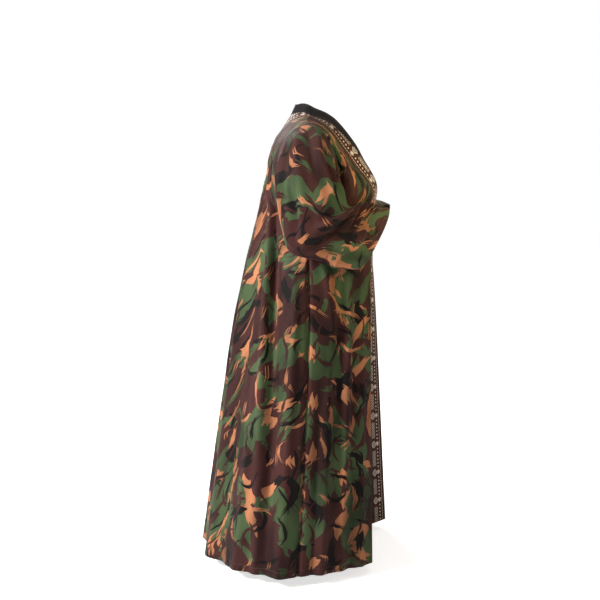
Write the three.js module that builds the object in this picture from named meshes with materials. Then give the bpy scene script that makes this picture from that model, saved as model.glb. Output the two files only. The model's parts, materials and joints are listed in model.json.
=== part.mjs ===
import * as THREE from 'three';

// A full-length robe of kimono cut, open in front, in the shape that it takes when it is worn.
// Millimetres, +Z up. The front faces -Y and the wearer's right side is -X.
// The origin lies midway between the shoulders, at the base of the neck.

// Cloth
const PANEL_CLOTH = 1.6;
const BAND_CLOTH = 2.0;
const COLLAR_CLOTH = 1.6;
const SEAM_GAP = 0.6;

// Shoulders and neck
const SHOULDER_Y = 5;
const NECK_HALF_WIDTH = 93;
const NECK_DEPTH = 97;
const NECK_SIDE_Z = -27;
const NECK_RIDGE_RISE = 0.08;
const SHOULDER_FALL = 0.277;

// The armhole: an upright ellipse that leans in at the top
const ARMHOLE_X = -213;
const ARMHOLE_Z = -186;
const ARMHOLE_HALF_HEIGHT = 128;
const ARMHOLE_HALF_DEPTH = 86;
const ARMHOLE_LEAN = 8;
const ARMHOLE_TURN = 3;

// The side seam lies in a deep fold, full depth from the hip down
const SEAM_TUCK = 20;
const TUCK_TOP_Z = -400;
const TUCK_FULL_Z = -700;
const TUCK_SHARPNESS = 14;

// The left front hangs further forward than the right one, from the waist to the hem
const LEFT_FORWARD = 36;
const FORWARD_TOP_Z = -500;
const FORWARD_CURVE = 0.75;
const HEM_Z = -1388;

// Each row is a level of the body. hole: angle round the armhole, from its top. back: y and z of the
// centre back. seam: x and y of the side seam. lead: x, y and z of the front panel's edge.
// full: how far the front is rounded out between its edge and the side, 0 straight, 1 elliptical.
const LEVELS = [
  { hole: 0, backY: 0, backZ: 0, leadX: -93, leadY: 5, leadZ: -27, full: 0 },
  { hole: 38, backY: 0, backZ: 0, leadX: -96, leadY: -48, leadZ: -62, full: 0.3 },
  { hole: 68, backY: 0, backZ: 0, leadX: -97, leadY: -98, leadZ: -130, full: 0.5 },
  { hole: 90, backY: 141, backZ: -190, leadX: -97, leadY: -134, leadZ: -180, full: 0.8 },
  { hole: 128, backY: 157, backZ: -250, leadX: -98, leadY: -184, leadZ: -243, full: 1 },
  { hole: 180, backY: 173, backZ: -314, leadX: -101, leadY: -189, leadZ: -305, full: 0.9 },
  {
    hole: 180, backY: 195, backZ: -400, seamX: -238, seamY: -2,
    leadX: -111, leadY: -186, leadZ: -400, full: 0.55,
  },
  {
    hole: 180, backY: 213, backZ: -480, seamX: -257, seamY: -6,
    leadX: -122, leadY: -185, leadZ: -480, full: 0.5,
  },
  {
    hole: 180, backY: 248, backZ: -660, seamX: -286, seamY: -7,
    leadX: -148, leadY: -187, leadZ: -660, full: 0.5,
  },
  {
    hole: 180, backY: 284, backZ: -885, seamX: -315, seamY: -2,
    leadX: -172, leadY: -190, leadZ: -885, full: 0.45,
  },
  {
    hole: 180, backY: 328, backZ: -1184, seamX: -344, seamY: 10,
    leadX: -192, leadY: -195, leadZ: -1184, full: 0.4,
  },
  {
    hole: 180, backY: 357, backZ: -1388, seamX: -362, seamY: 20,
    leadX: -204, leadY: -199, leadZ: -1388, full: 0.35,
  },
];
const FIRST_BACK_LEVEL = 3;
const UNDERARM_LEVEL = 5;
const ROUND_LEVEL = 7.5;
const HEM_LEVEL = LEVELS.length - 1;

// The printed band leans inward from the panel's edge, and the black collar goes on from it.
// Each row fits a level: the band's reach, then the collar's rise, and how far the left band turns in.
const TRIM = [
  { bandX: 35, bandY: -4, bandZ: 2, riseX: 4, riseY: -4, riseZ: 27, turn: 0 },
  { bandX: 38, bandY: -8, bandZ: 14, riseX: 7, riseY: -5, riseZ: 21, turn: 0 },
  { bandX: 40, bandY: -20, bandZ: 23, riseX: 12, riseY: -3, riseZ: 10, turn: 0 },
  { bandX: 44, bandY: -22, bandZ: 22, riseX: 18, riseY: 1, riseZ: 3, turn: 0 },
  { bandX: 54, bandY: -13, bandZ: 10, riseX: 22, riseY: 3, riseZ: -1, turn: 0 },
  { bandX: 56, bandY: -4, bandZ: 2, riseX: 22, riseY: 4, riseZ: -1, turn: 0 },
  { bandX: 57, bandY: 3, bandZ: 0, riseX: 22, riseY: 4, riseZ: 0, turn: 0 },
  { bandX: 57, bandY: 5, bandZ: 0, riseX: 22, riseY: 5, riseZ: 0, turn: 3 },
  { bandX: 57, bandY: 7, bandZ: 0, riseX: 22, riseY: 5, riseZ: 0, turn: 14 },
  { bandX: 57, bandY: 9, bandZ: 0, riseX: 22, riseY: 5, riseZ: 0, turn: 26 },
  { bandX: 57, bandY: 10, bandZ: 0, riseX: 22, riseY: 5, riseZ: 0, turn: 33 },
  { bandX: 57, bandY: 10, bandZ: 0, riseX: 22, riseY: 5, riseZ: 0, turn: 36 },
];
// The same at the back neck, from the centre back to the neck side
const NECK_TRIM = [
  { bandX: 0, bandY: -33, bandZ: 53, riseX: 0, riseY: -14, riseZ: 32 },
  { bandX: 27, bandY: -24, bandZ: 34, riseX: 2, riseY: -10, riseZ: 28 },
  { bandX: 35, bandY: -4, bandZ: 2, riseX: 4, riseY: -4, riseZ: 27 },
];
const COLLAR_END_LEVEL = 6.6;

// Each row is a section of the sleeve, from the armhole to the cuff: its centre, the way from
// there to its outer side, and the way from there to its front, which is its top on the forearm.
const SLEEVE = [
  { x: -213, y: 5, z: -186, outX: 8, outY: 0, outZ: 128, frontX: 3, frontY: -86, frontZ: 0 },
  { x: -250, y: 4, z: -208, outX: -19, outY: 0, outZ: 117, frontX: 2, frontY: -86, frontZ: 8 },
  { x: -278, y: -2, z: -246, outX: -37, outY: 0, outZ: 86, frontX: 4, frontY: -88, frontZ: 12 },
  { x: -285, y: -18, z: -298, outX: -38, outY: -4, outZ: 48, frontX: 6, frontY: -92, frontZ: 38 },
  { x: -282, y: -40, z: -355, outX: -36, outY: -6, outZ: 6, frontX: 13, frontY: -88, frontZ: 64 },
  { x: -261, y: -86, z: -367, outX: -29, outY: -14, outZ: 0, frontX: 20, frontY: -64, frontZ: 79 },
  { x: -235, y: -128, z: -377, outX: -25, outY: -17, outZ: 0, frontX: 27, frontY: -53, frontZ: 89 },
  { x: -204, y: -164, z: -384, outX: -22, outY: -19, outZ: 0, frontX: 38, frontY: -46, frontZ: 91 },
  { x: -168, y: -193, z: -390, outX: -20, outY: -20, outZ: 0, frontX: 44, frontY: -43, frontZ: 89 },
];
const SLEEVE_GAP_TOP = 0.8;
const SLEEVE_GAP_BOTTOM = 2.6;
const SLEEVE_GAP_END = 0.6;
const SLEEVE_FOLD_START = 0.8;

// Largest folds. On the body, across runs 0 to 1 from the centre back to the side seam, on to 2 at
// the front panel's edge, and down counts levels. On a sleeve, across is the angle from its outer
// side towards its front, in degrees, and down counts sections. Ridges have a height above 0.
const BODY_FOLDS = {
  right: [
    { across: 0.16, down: 5.5, endAcross: 0.14, endDown: 13, width: 42, height: -12 },
    { across: 0.34, down: 5.2, endAcross: 0.36, endDown: 13, width: 46, height: 13 },
    { across: 0.55, down: 4.2, endAcross: 0.53, endDown: 13, width: 38, height: -11 },
    { across: 0.68, down: 3.6, endAcross: 0.66, endDown: 10.2, width: 26, height: 8 },
    { across: 0.8, down: 6.4, endAcross: 0.79, endDown: 13, width: 26, height: -9 },
    { across: 1.42, down: 6.2, endAcross: 1.34, endDown: 9.2, width: 26, height: -6 },
    { across: 1.66, down: 6.5, endAcross: 1.6, endDown: 12.5, width: 28, height: -6 },
  ],
  left: [
    { across: 0.12, down: 6.2, endAcross: 0.15, endDown: 13, width: 44, height: 10 },
    { across: 0.3, down: 5.4, endAcross: 0.32, endDown: 13, width: 44, height: -11 },
    { across: 0.47, down: 4.8, endAcross: 0.5, endDown: 13, width: 42, height: 12 },
    { across: 0.7, down: 4.4, endAcross: 0.68, endDown: 13, width: 32, height: -10 },
    { across: 0.85, down: 6.8, endAcross: 0.86, endDown: 11, width: 24, height: 6 },
    { across: 1.38, down: 6.1, endAcross: 1.45, endDown: 10, width: 26, height: -7 },
    { across: 1.72, down: 7, endAcross: 1.66, endDown: 12, width: 26, height: -5 },
  ],
};
const SLEEVE_FOLDS = {
  right: [
    { across: 78, down: 1.2, endAcross: 84, endDown: 3.6, width: 20, height: -7 },
    { across: 84, down: 4.1, endAcross: -50, endDown: 3.4, width: 20, height: -8 },
    { across: 84, down: 4.7, endAcross: -65, endDown: 4.6, width: 18, height: -7 },
    { across: 80, down: 5.5, endAcross: -20, endDown: 5.6, width: 18, height: -6 },
    { across: 70, down: 6.4, endAcross: -70, endDown: 6.8, width: 20, height: -4 },
  ],
  left: [
    { across: 70, down: 1.5, endAcross: 80, endDown: 3.4, width: 20, height: -6 },
    { across: 84, down: 3.9, endAcross: -40, endDown: 3.2, width: 20, height: -7 },
    { across: 84, down: 4.8, endAcross: -70, endDown: 4.4, width: 18, height: -7 },
    { across: 78, down: 5.8, endAcross: -35, endDown: 5.9, width: 18, height: -6 },
    { across: 60, down: 7, endAcross: -60, endDown: 7.2, width: 20, height: -3 },
  ],
};
// Real sizes that the folds' numbers stand for: the back's and the front's width, a level's and a
// section's length, and a degree round the sleeve
const BACK_SIZE = 480;
const FRONT_SIZE = 270;
const LEVEL_SIZE = 150;
const SECTION_SIZE = 62;
const ANGLE_SIZE = 1.4;
// A fold rises over the first part of its length and fades out over the last
const FOLD_RISE = 0.35;
const FOLD_FADE_START = 0.75;
const FOLD_END = 1.15;
// Folds push the cloth straight out from this line
const BODY_AXIS_Y = 20;

// Facets
const SHOULDER_COLUMNS = 10;
const FRONT_COLUMNS = 10;
const BAND_COLUMNS = 2;
const NECK_STEPS = 6;
const SLEEVE_SIDES = 26;
const SLEEVE_STEPS = 17;
const STEPS_BY_LEVEL = [2, 2, 2, 2, 2, 2, 2, 3, 3, 4, 3];

const SIDES = { right: 1, left: -1 };

const lerp = (from, to, share) => from + (to - from) * share;
const smooth = (from, to, value) => THREE.MathUtils.smoothstep((value - from) / (to - from), 0, 1);
const radians = THREE.MathUtils.degToRad;

// A value of one column of a table, read between its rows along a smooth curve
function column(table, name, at) {
  const last = table.length - 1;
  const row = Math.min(Math.floor(Math.max(at, 0)), last - 1);
  const value = (index) => {
    if (index < 0) return 2 * table[0][name] - table[1][name];
    if (index > last) return 2 * table[last][name] - table[last - 1][name];
    return table[index][name];
  };
  const share = at - row;
  const [a, b, c, d] = [value(row - 1), value(row), value(row + 1), value(row + 2)];
  const bend = 2 * a - 5 * b + 4 * c - d;
  const twist = 3 * b - a - 3 * c + d;
  return b + 0.5 * share * (c - a + share * (bend + share * twist));
}

// The point on the armhole at an angle from its top, on the front for -1 or the back for 1
function armhole(angle, way) {
  const turn = radians(angle);
  return new THREE.Vector3(
    ARMHOLE_X + ARMHOLE_LEAN * Math.cos(turn) - way * ARMHOLE_TURN * Math.sin(turn),
    SHOULDER_Y + way * ARMHOLE_HALF_DEPTH * Math.sin(turn),
    ARMHOLE_Z + ARMHOLE_HALF_HEIGHT * Math.cos(turn),
  );
}

const SEAM_LEVELS = LEVELS.map((row, index) => {
  if (index > UNDERARM_LEVEL) return row;
  const under = armhole(180, 1);
  return { ...row, seamX: under.x, seamY: under.y };
}).slice(UNDERARM_LEVEL);

// The outer edge of a body panel: the armhole, then the side seam in its fold
function sideEdge(level, way) {
  if (level <= UNDERARM_LEVEL) return armhole(column(LEVELS, 'hole', level), way);
  const at = level - UNDERARM_LEVEL;
  const z = lerp(column(LEVELS, 'leadZ', level), column(LEVELS, 'backZ', level), 0.5);
  const tuck = SEAM_TUCK * smooth(TUCK_TOP_Z, TUCK_FULL_Z, z);
  return new THREE.Vector3(column(SEAM_LEVELS, 'seamX', at) + tuck, column(SEAM_LEVELS, 'seamY', at), z);
}

const ridgeZ = (x) => {
  const past = Math.abs(x) - NECK_HALF_WIDTH;
  return NECK_SIDE_Z - past * (past > 0 ? SHOULDER_FALL : NECK_RIDGE_RISE);
};

// The upper back is a quarter ellipse from the shoulder ridge down to the level of the armhole's
// middle. Inside the neck it starts at the neckline.
function upperBack(across, share) {
  const side = armhole(90, 1);
  const x = across * armhole(0, 1).x;
  const low = LEVELS[FIRST_BACK_LEVEL];
  const deepY = lerp(side.y, low.backY, Math.cos(radians(90 * across)));
  const deepZ = lerp(low.backZ, side.z, across);
  const nearNeck = Math.max(0, 1 - (x / NECK_HALF_WIDTH) ** 2);
  const start = Math.asin((NECK_DEPTH * Math.sqrt(nearNeck)) / (deepY - SHOULDER_Y));
  const turn = lerp(start, Math.PI / 2, share);
  return new THREE.Vector3(
    across * armhole(THREE.MathUtils.radToDeg(turn), 1).x,
    SHOULDER_Y + (deepY - SHOULDER_Y) * Math.sin(turn),
    deepZ + (ridgeZ(x) - deepZ) * Math.cos(turn),
  );
}

function lowerBack(across, level) {
  const side = sideEdge(level, 1);
  const wide = level > UNDERARM_LEVEL ? column(SEAM_LEVELS, 'seamX', level - UNDERARM_LEVEL) : side.x;
  const round = smooth(FIRST_BACK_LEVEL, ROUND_LEVEL, level);
  const turn = radians(90 * across);
  const x = wide * lerp(across, Math.sin(turn), round);
  const y = lerp(side.y, column(LEVELS, 'backY', level), Math.cos(turn));
  const z = lerp(column(LEVELS, 'backZ', level), side.z, across ** 2);
  return new THREE.Vector3(x + (side.x - wide) * across ** TUCK_SHARPNESS, y, z);
}

function back(across, level) {
  if (level >= FIRST_BACK_LEVEL) return lowerBack(across, level);
  return upperBack(across, level / FIRST_BACK_LEVEL);
}

// The front panel's edge, where the band is sewn on
function lead(level, side) {
  const z = column(LEVELS, 'leadZ', level);
  const fall = Math.max(0, (z - FORWARD_TOP_Z) / (HEM_Z - FORWARD_TOP_Z));
  const forward = side === SIDES.left ? LEFT_FORWARD * fall ** FORWARD_CURVE : 0;
  return new THREE.Vector3(column(LEVELS, 'leadX', level), column(LEVELS, 'leadY', level) - forward, z);
}

// Across the front: 0 at the side, 1 at the panel's edge
function front(across, level, side) {
  const outer = sideEdge(level, -1);
  const inner = lead(level, side);
  const full = column(LEVELS, 'full', level);
  const turn = radians(90 * across);
  const xShare = lerp(across, 1 - Math.cos(turn), full);
  const yShare = lerp(across, Math.sin(turn), full);
  return new THREE.Vector3(
    lerp(outer.x, inner.x, xShare),
    lerp(outer.y, inner.y, yShare),
    lerp(outer.z, inner.z, across),
  );
}

// The height of all the folds at a place, measured in millimetres across the cloth
function relief(folds, across, down, acrossSize, downSize) {
  let height = 0;
  for (const fold of folds) {
    const dx = (fold.endAcross - fold.across) * acrossSize;
    const dy = (fold.endDown - fold.down) * downSize;
    const px = (across - fold.across) * acrossSize;
    const py = (down - fold.down) * downSize;
    const length = Math.hypot(dx, dy);
    const along = (px * dx + py * dy) / length / length;
    const off = (px * dy - py * dx) / length;
    const ends = Math.min(smooth(0, FOLD_RISE, along), smooth(FOLD_END, FOLD_FADE_START, along));
    height += fold.height * ends * Math.exp(-((off / fold.width) ** 2));
  }
  return height;
}

// A point of a body panel with its folds: across runs 0 to 1 from the centre back to the side on
// the back, and from the side to the panel's edge on the front. Folds fade out at the seams.
function body(onFront, across, level, side) {
  const point = onFront ? front(across, level, side) : back(across, level);
  const folds = side === SIDES.right ? BODY_FOLDS.right : BODY_FOLDS.left;
  const edge = onFront
    ? smooth(0, 0.2, across) * smooth(1, 0.85, across)
    : smooth(0, 0.05, across) * smooth(1, 0.9, across);
  const size = onFront ? FRONT_SIZE : BACK_SIZE;
  const place = onFront ? 1 + across : across;
  const height = edge * relief(folds, place, level, size, LEVEL_SIZE);
  const out = new THREE.Vector3(point.x, point.y - BODY_AXIS_Y, 0).normalize();
  return point.addScaledVector(out, height);
}

// The printed band, 0 to 1 from the panel's edge, and the black collar, 1 to 2 beyond it.
// Places above 0 are levels down the front, and places below 0 run round the neck to the centre back.
function trim(across, place, side) {
  const onNeck = place < 0;
  const table = onNeck ? NECK_TRIM : TRIM;
  const at = onNeck ? (1 + place) * 2 : place;
  const neckEdge = (NECK_HALF_WIDTH / Math.abs(armhole(0, 1).x)) * Math.sin(radians(90 * (1 + place)));
  const point = onNeck ? upperBack(neckEdge, 0) : lead(place, side);
  const turn = onNeck || side === SIDES.right ? 0 : column(TRIM, 'turn', at);
  const band = Math.min(across, 1);
  const rise = Math.max(across - 1, 0);
  point.x += band * column(table, 'bandX', at) + rise * column(table, 'riseX', at);
  point.y += band * (column(table, 'bandY', at) + turn) + rise * column(table, 'riseY', at);
  point.z += band * column(table, 'bandZ', at) + rise * column(table, 'riseZ', at);
  return point;
}

function sleeve(angle, section, side) {
  const turn = radians(angle);
  const point = new THREE.Vector3();
  const out = new THREE.Vector3();
  for (const axis of ['x', 'y', 'z']) {
    const name = axis.toUpperCase();
    const outward = column(SLEEVE, 'out' + name, section) * Math.cos(turn);
    out[axis] = outward + column(SLEEVE, 'front' + name, section) * Math.sin(turn);
    point[axis] = column(SLEEVE, axis, section) + out[axis];
  }
  const joint = smooth(SLEEVE_GAP_END, 0, section);
  point.x -= joint * lerp(SLEEVE_GAP_TOP, SLEEVE_GAP_BOTTOM, (1 - Math.cos(turn)) / 2);
  const folds = side === SIDES.right ? SLEEVE_FOLDS.right : SLEEVE_FOLDS.left;
  const facing = ((angle + 180 + 360) % 360) - 180;
  const fold = relief(folds, facing, section, ANGLE_SIZE, SECTION_SIZE);
  const height = smooth(0, SLEEVE_FOLD_START, section) * fold;
  return point.addScaledVector(out.normalize(), height);
}

// A closed wall of even thickness on a sheet given as rows of points. A closed sheet joins its
// last column to its first one. "beyond" holds the neighbouring pieces' points past the first
// column, the last column and the top row, so that the end faces at a seam lie parallel.
function wall(rows, thickness, closed, beyond = {}) {
  const count = rows.length;
  const width = rows[0].length;
  const at = (r, c) => {
    if (closed) return rows[r][(c + width) % width];
    if (c < 0) return beyond.first?.[r] ?? rows[r][0];
    if (c >= width) return beyond.last?.[r] ?? rows[r][width - 1];
    return rows[r][c];
  };
  const above = (r, c) => (r > 0 ? rows[r - 1][c] : beyond.top?.[c] ?? rows[0][c]);
  const below = (r, c) => rows[Math.min(r + 1, count - 1)][c];
  const positions = [];
  for (const way of [0.5, -0.5]) {
    for (let r = 0; r < count; r += 1) {
      for (let c = 0; c < width; c += 1) {
        const alongRow = at(r, c + 1).clone().sub(at(r, c - 1));
        const downRows = below(r, c).clone().sub(above(r, c));
        const normal = alongRow.cross(downRows).normalize();
        const point = rows[r][c].clone().addScaledVector(normal, way * thickness);
        positions.push(point.x, point.y, point.z);
      }
    }
  }
  const faces = [];
  const quad = (a, b, c, d) => faces.push(a, b, c, a, c, d);
  const outer = (r, c) => r * width + (c % width);
  const inner = (r, c) => count * width + outer(r, c);
  const columns = closed ? width : width - 1;
  for (let r = 0; r < count - 1; r += 1) {
    for (let c = 0; c < columns; c += 1) {
      quad(outer(r, c), outer(r, c + 1), outer(r + 1, c + 1), outer(r + 1, c));
      quad(inner(r, c), inner(r + 1, c), inner(r + 1, c + 1), inner(r, c + 1));
    }
  }
  for (let c = 0; c < columns; c += 1) {
    quad(outer(0, c + 1), outer(0, c), inner(0, c), inner(0, c + 1));
    quad(outer(count - 1, c), outer(count - 1, c + 1), inner(count - 1, c + 1), inner(count - 1, c));
  }
  for (let r = 0; r < count - 1 && !closed; r += 1) {
    quad(outer(r, 0), outer(r + 1, 0), inner(r + 1, 0), inner(r, 0));
    quad(outer(r + 1, width - 1), outer(r, width - 1), inner(r, width - 1), inner(r + 1, width - 1));
  }
  const geometry = new THREE.BufferGeometry();
  geometry.setAttribute('position', new THREE.Float32BufferAttribute(positions, 3));
  geometry.setIndex(faces);
  geometry.computeVertexNormals();
  return geometry;
}

const steps = (count) => Array.from({ length: count + 1 }, (_, index) => index / count);
const LEVEL_STEPS = STEPS_BY_LEVEL.flatMap((count, level) =>
  steps(count).slice(0, -1).map((share) => level + share)).concat(HEM_LEVEL);
const mirrored = (point, side) => new THREE.Vector3(point.x * side, point.y, point.z);
const backPoint = (across, level, side) => mirrored(body(false, across, level, side), side);
const frontPoint = (across, level, side) => mirrored(body(true, across, level, side), side);
const trimPoint = (across, place, side) => mirrored(trim(across, place, side), side);

// Moves the edges of a sheet back by half a seam's gap
function drawIn(rows, edges) {
  const pull = (end, next) => end.add(next.clone().sub(end).setLength(SEAM_GAP / 2));
  for (const row of rows) {
    if (edges.first) pull(row[0], row[1]);
    if (edges.last) pull(row[row.length - 1], row[row.length - 2]);
  }
  if (edges.top) rows[0].forEach((point, index) => pull(point, rows[1][index]));
  return rows;
}

// Where a place on the shoulder line lies across the back, and across the front
const ridgeEnd = Math.abs(armhole(0, 1).x);
const ridgeStart = NECK_HALF_WIDTH / ridgeEnd;
const frontFromBack = (across) => 1 - (across - ridgeStart) / (1 - ridgeStart);
const backFromFront = (across) => ridgeStart + (1 - across) * (1 - ridgeStart);
const neckShares = steps(NECK_STEPS);
const backFromNeck = (share) => ridgeStart * Math.sin(radians(90 * share));
const neckFromBack = (across) => Math.asin(across / ridgeStart) / (Math.PI / 2) - 1;
const backColumns = [
  ...neckShares.slice(0, -1).map(backFromNeck),
  ...steps(SHOULDER_COLUMNS).map((share) => lerp(ridgeStart, 1, share)),
];

function backWall() {
  const half = backColumns;
  const next = 1 / FRONT_COLUMNS;
  const across = (side) => (share) => (level) => backPoint(share, level, side);
  const right = half.map(across(SIDES.right)).reverse();
  const left = half.slice(1).map(across(SIDES.left));
  const rows = LEVEL_STEPS.map((level) => [...right, ...left].map((place) => place(level)));
  const pastSide = (side) => LEVEL_STEPS.map((level) =>
    (level < UNDERARM_LEVEL ? null : frontPoint(next, level, side)));
  const pastTop = (side) => (share) => (share <= ridgeStart
    ? trimPoint(0.5, neckFromBack(share), side)
    : frontPoint(frontFromBack(share), LEVEL_STEPS[1], side));
  const topRight = half.map(pastTop(SIDES.right)).reverse();
  const top = [...topRight, ...half.slice(1).map(pastTop(SIDES.left))];
  const beyond = { first: pastSide(SIDES.right), last: pastSide(SIDES.left), top };
  return wall(drawIn(rows, { first: true, last: true, top: true }), PANEL_CLOTH, false, beyond);
}

function frontWall(side) {
  const columns = steps(FRONT_COLUMNS);
  const rows = LEVEL_STEPS.map((level) => columns.map((across) => frontPoint(across, level, side)));
  const before = backColumns[backColumns.length - 2];
  const beyond = {
    first: LEVEL_STEPS.map((level) => (level < UNDERARM_LEVEL ? null : backPoint(before, level, side))),
    last: LEVEL_STEPS.map((level) => trimPoint(1 / BAND_COLUMNS, level, side)),
    top: columns.map((across) => backPoint(backFromFront(across), LEVEL_STEPS[1], side)),
  };
  return wall(drawIn(rows, { first: true, last: true, top: true }), PANEL_CLOTH, false, beyond);
}

const neckPlaces = neckShares.slice(0, -1).map((share) => share - 1);
const bandPlaces = [...neckPlaces, ...LEVEL_STEPS];
const collarPlaces = bandPlaces.filter((place) => place < COLLAR_END_LEVEL);

// A point of the body panels just inside the band's outer edge
function insideLead(place, side) {
  if (place >= 0) return frontPoint(1 - 1 / FRONT_COLUMNS, place, side);
  return backPoint(backFromNeck(1 + place), LEVEL_STEPS[1], side);
}

function bandWall(side) {
  const shares = steps(BAND_COLUMNS);
  const rows = bandPlaces.map((place) => shares.map((across) => trimPoint(across, place, side)));
  const beyond = {
    first: bandPlaces.map((place) => insideLead(place, side)),
    last: bandPlaces.map((place) => (place < COLLAR_END_LEVEL ? trimPoint(2, place, side) : null)),
    top: shares.map((across) => trimPoint(across, neckPlaces[1], -side)),
  };
  return wall(drawIn(rows, { first: true, last: true, top: true }), BAND_CLOTH, false, beyond);
}

function collarWall() {
  const pair = (side) => (place) => [1, 2].map((across) => trimPoint(across, place, side));
  const run = (side, places) => places.map(pair(side));
  const inside = (side, places) => places.map((place) => trimPoint(1 - 1 / BAND_COLUMNS, place, side));
  const rest = collarPlaces.slice(1);
  const rows = [...run(SIDES.right, collarPlaces).reverse(), ...run(SIDES.left, rest)];
  const first = [...inside(SIDES.right, collarPlaces).reverse(), ...inside(SIDES.left, rest)];
  return wall(drawIn(rows, { first: true }), COLLAR_CLOTH, false, { first });
}

function sleeveWall(side) {
  const sections = steps(SLEEVE_STEPS).map((share) => share * (SLEEVE.length - 1));
  const angles = steps(SLEEVE_SIDES).slice(0, -1).map((share) => share * 360);
  const ring = (section) => angles.map((angle) => mirrored(sleeve(angle, section, side), side));
  const rows = sections.map(ring);
  return wall(rows, PANEL_CLOTH, true);
}

const MATERIALS = {
  camouflage: { color: 0x55603f, roughness: 0.75, metalness: 0 },
  print: { color: 0x2a1d1a, roughness: 0.8, metalness: 0 },
  black: { color: 0x17161a, roughness: 0.85, metalness: 0 },
};

function piece(name, geometry, material) {
  const mesh = new THREE.Mesh(geometry, new THREE.MeshStandardMaterial(MATERIALS[material]));
  mesh.name = name;
  return mesh;
}

const garment = new THREE.Group();
garment.name = 'robe';
garment.add(piece('back', backWall(), 'camouflage'));
garment.add(piece('collar_band', collarWall(), 'black'));
for (const [name, side] of Object.entries(SIDES)) {
  garment.add(piece('front_' + name, frontWall(side), 'camouflage'));
  garment.add(piece('sleeve_' + name, sleeveWall(side), 'camouflage'));
  garment.add(piece('band_' + name, bandWall(side), 'print'));
}

export default garment;
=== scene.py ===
import json
import math
import bmesh
import bpy
import numpy as np
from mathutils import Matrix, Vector

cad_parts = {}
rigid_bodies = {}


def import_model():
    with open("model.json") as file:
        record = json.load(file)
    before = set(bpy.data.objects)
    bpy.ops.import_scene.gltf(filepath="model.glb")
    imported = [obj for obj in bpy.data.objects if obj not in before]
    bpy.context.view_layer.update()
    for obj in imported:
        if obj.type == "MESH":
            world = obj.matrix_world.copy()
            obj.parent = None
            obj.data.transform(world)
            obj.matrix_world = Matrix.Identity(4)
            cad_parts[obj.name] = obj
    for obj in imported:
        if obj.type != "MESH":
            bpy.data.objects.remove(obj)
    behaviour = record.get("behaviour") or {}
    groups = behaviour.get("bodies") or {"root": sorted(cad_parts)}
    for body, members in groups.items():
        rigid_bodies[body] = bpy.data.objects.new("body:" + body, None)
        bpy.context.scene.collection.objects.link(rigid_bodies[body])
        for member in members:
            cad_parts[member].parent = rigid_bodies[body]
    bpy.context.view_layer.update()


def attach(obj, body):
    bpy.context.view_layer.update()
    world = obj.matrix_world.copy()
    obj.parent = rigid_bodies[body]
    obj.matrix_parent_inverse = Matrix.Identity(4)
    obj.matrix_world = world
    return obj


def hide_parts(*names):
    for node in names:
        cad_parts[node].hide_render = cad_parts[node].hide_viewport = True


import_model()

# The robe's form is worked out in millimetres, as in the solids, and turned to metres for the mesh.
MM = 0.001

# Shoulders, neck and armhole
SHOULDER_Y = 5
NECK_HALF_WIDTH = 93
NECK_DEPTH = 97
NECK_SIDE_Z = -27
NECK_RIDGE_RISE = 0.08
SHOULDER_FALL = 0.277
ARMHOLE_X = -213
ARMHOLE_Z = -186
ARMHOLE_HALF_HEIGHT = 128
ARMHOLE_HALF_DEPTH = 86
ARMHOLE_LEAN = 8
ARMHOLE_TURN = 3
ARMHOLE_TOP_X = abs(ARMHOLE_X + ARMHOLE_LEAN)
RIDGE_START = NECK_HALF_WIDTH / ARMHOLE_TOP_X

# The side seam lies in a deep fold from the hip down, and the left front hangs further forward
SEAM_TUCK = 20
TUCK_TOP_Z = -400
TUCK_FULL_Z = -700
TUCK_SHARPNESS = 14
LEFT_FORWARD = 36
FORWARD_TOP_Z = -500
FORWARD_CURVE = 0.75
HEM_Z = -1388
RIGHT = 1
LEFT = -1


def table(names, rows):
    """A short table: a list of values for each named column."""
    return {name: [row[k] for row in rows] for k, name in enumerate(names.split())}


# Levels of the body, from the shoulders to the hem
LEVELS = table("hole back_y back_z seam_x seam_y lead_x lead_y lead_z full", [
    (0, 141, -60, -221, 5, -93, 5, -27, 0),
    (38, 141, -90, -221, 5, -96, -48, -62, 0.3),
    (68, 141, -140, -221, 5, -97, -98, -130, 0.5),
    (90, 141, -190, -221, 5, -97, -134, -180, 0.8),
    (128, 157, -250, -221, 5, -98, -184, -243, 1),
    (180, 173, -314, -221, 5, -101, -189, -305, 0.9),
    (180, 195, -400, -238, -2, -111, -186, -400, 0.55),
    (180, 213, -480, -257, -6, -122, -185, -480, 0.5),
    (180, 248, -660, -286, -7, -148, -187, -660, 0.5),
    (180, 284, -885, -315, -2, -172, -190, -885, 0.45),
    (180, 328, -1184, -344, 10, -192, -195, -1184, 0.4),
    (180, 357, -1388, -362, 20, -204, -199, -1388, 0.35),
])
FIRST_BACK_LEVEL = 3
UNDERARM_LEVEL = 5
ROUND_LEVEL = 7.5
HEM_LEVEL = 11
UNDERARM_STEP_Z = -4.5

# The printed band and the black collar at each level, and how far the left band turns in
TRIM = table("band_x band_y band_z rise_x rise_y rise_z turn", [
    (35, -4, 2, 4, -4, 27, 0),
    (38, -8, 14, 7, -5, 21, 0),
    (40, -20, 23, 12, -3, 10, 0),
    (44, -22, 22, 18, 1, 3, 0),
    (54, -13, 10, 22, 3, -1, 0),
    (56, -4, 2, 22, 4, -1, 0),
    (57, 3, 0, 22, 4, 0, 0),
    (57, 5, 0, 22, 5, 0, 3),
    (57, 7, 0, 22, 5, 0, 14),
    (57, 9, 0, 22, 5, 0, 26),
    (57, 10, 0, 22, 5, 0, 33),
    (57, 10, 0, 22, 5, 0, 36),
])
# The same round the neck, from just past the centre back, so that the two halves join smoothly
NECK_TRIM = table("band_x band_y band_z rise_x rise_y rise_z", [
    (-27, -24, 34, -2, -10, 28),
    (0, -33, 53, 0, -14, 31),
    (27, -24, 34, 2, -10, 28),
    (35, -4, 2, 4, -4, 27),
])
COLLAR_END_LEVEL = 6.5

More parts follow.
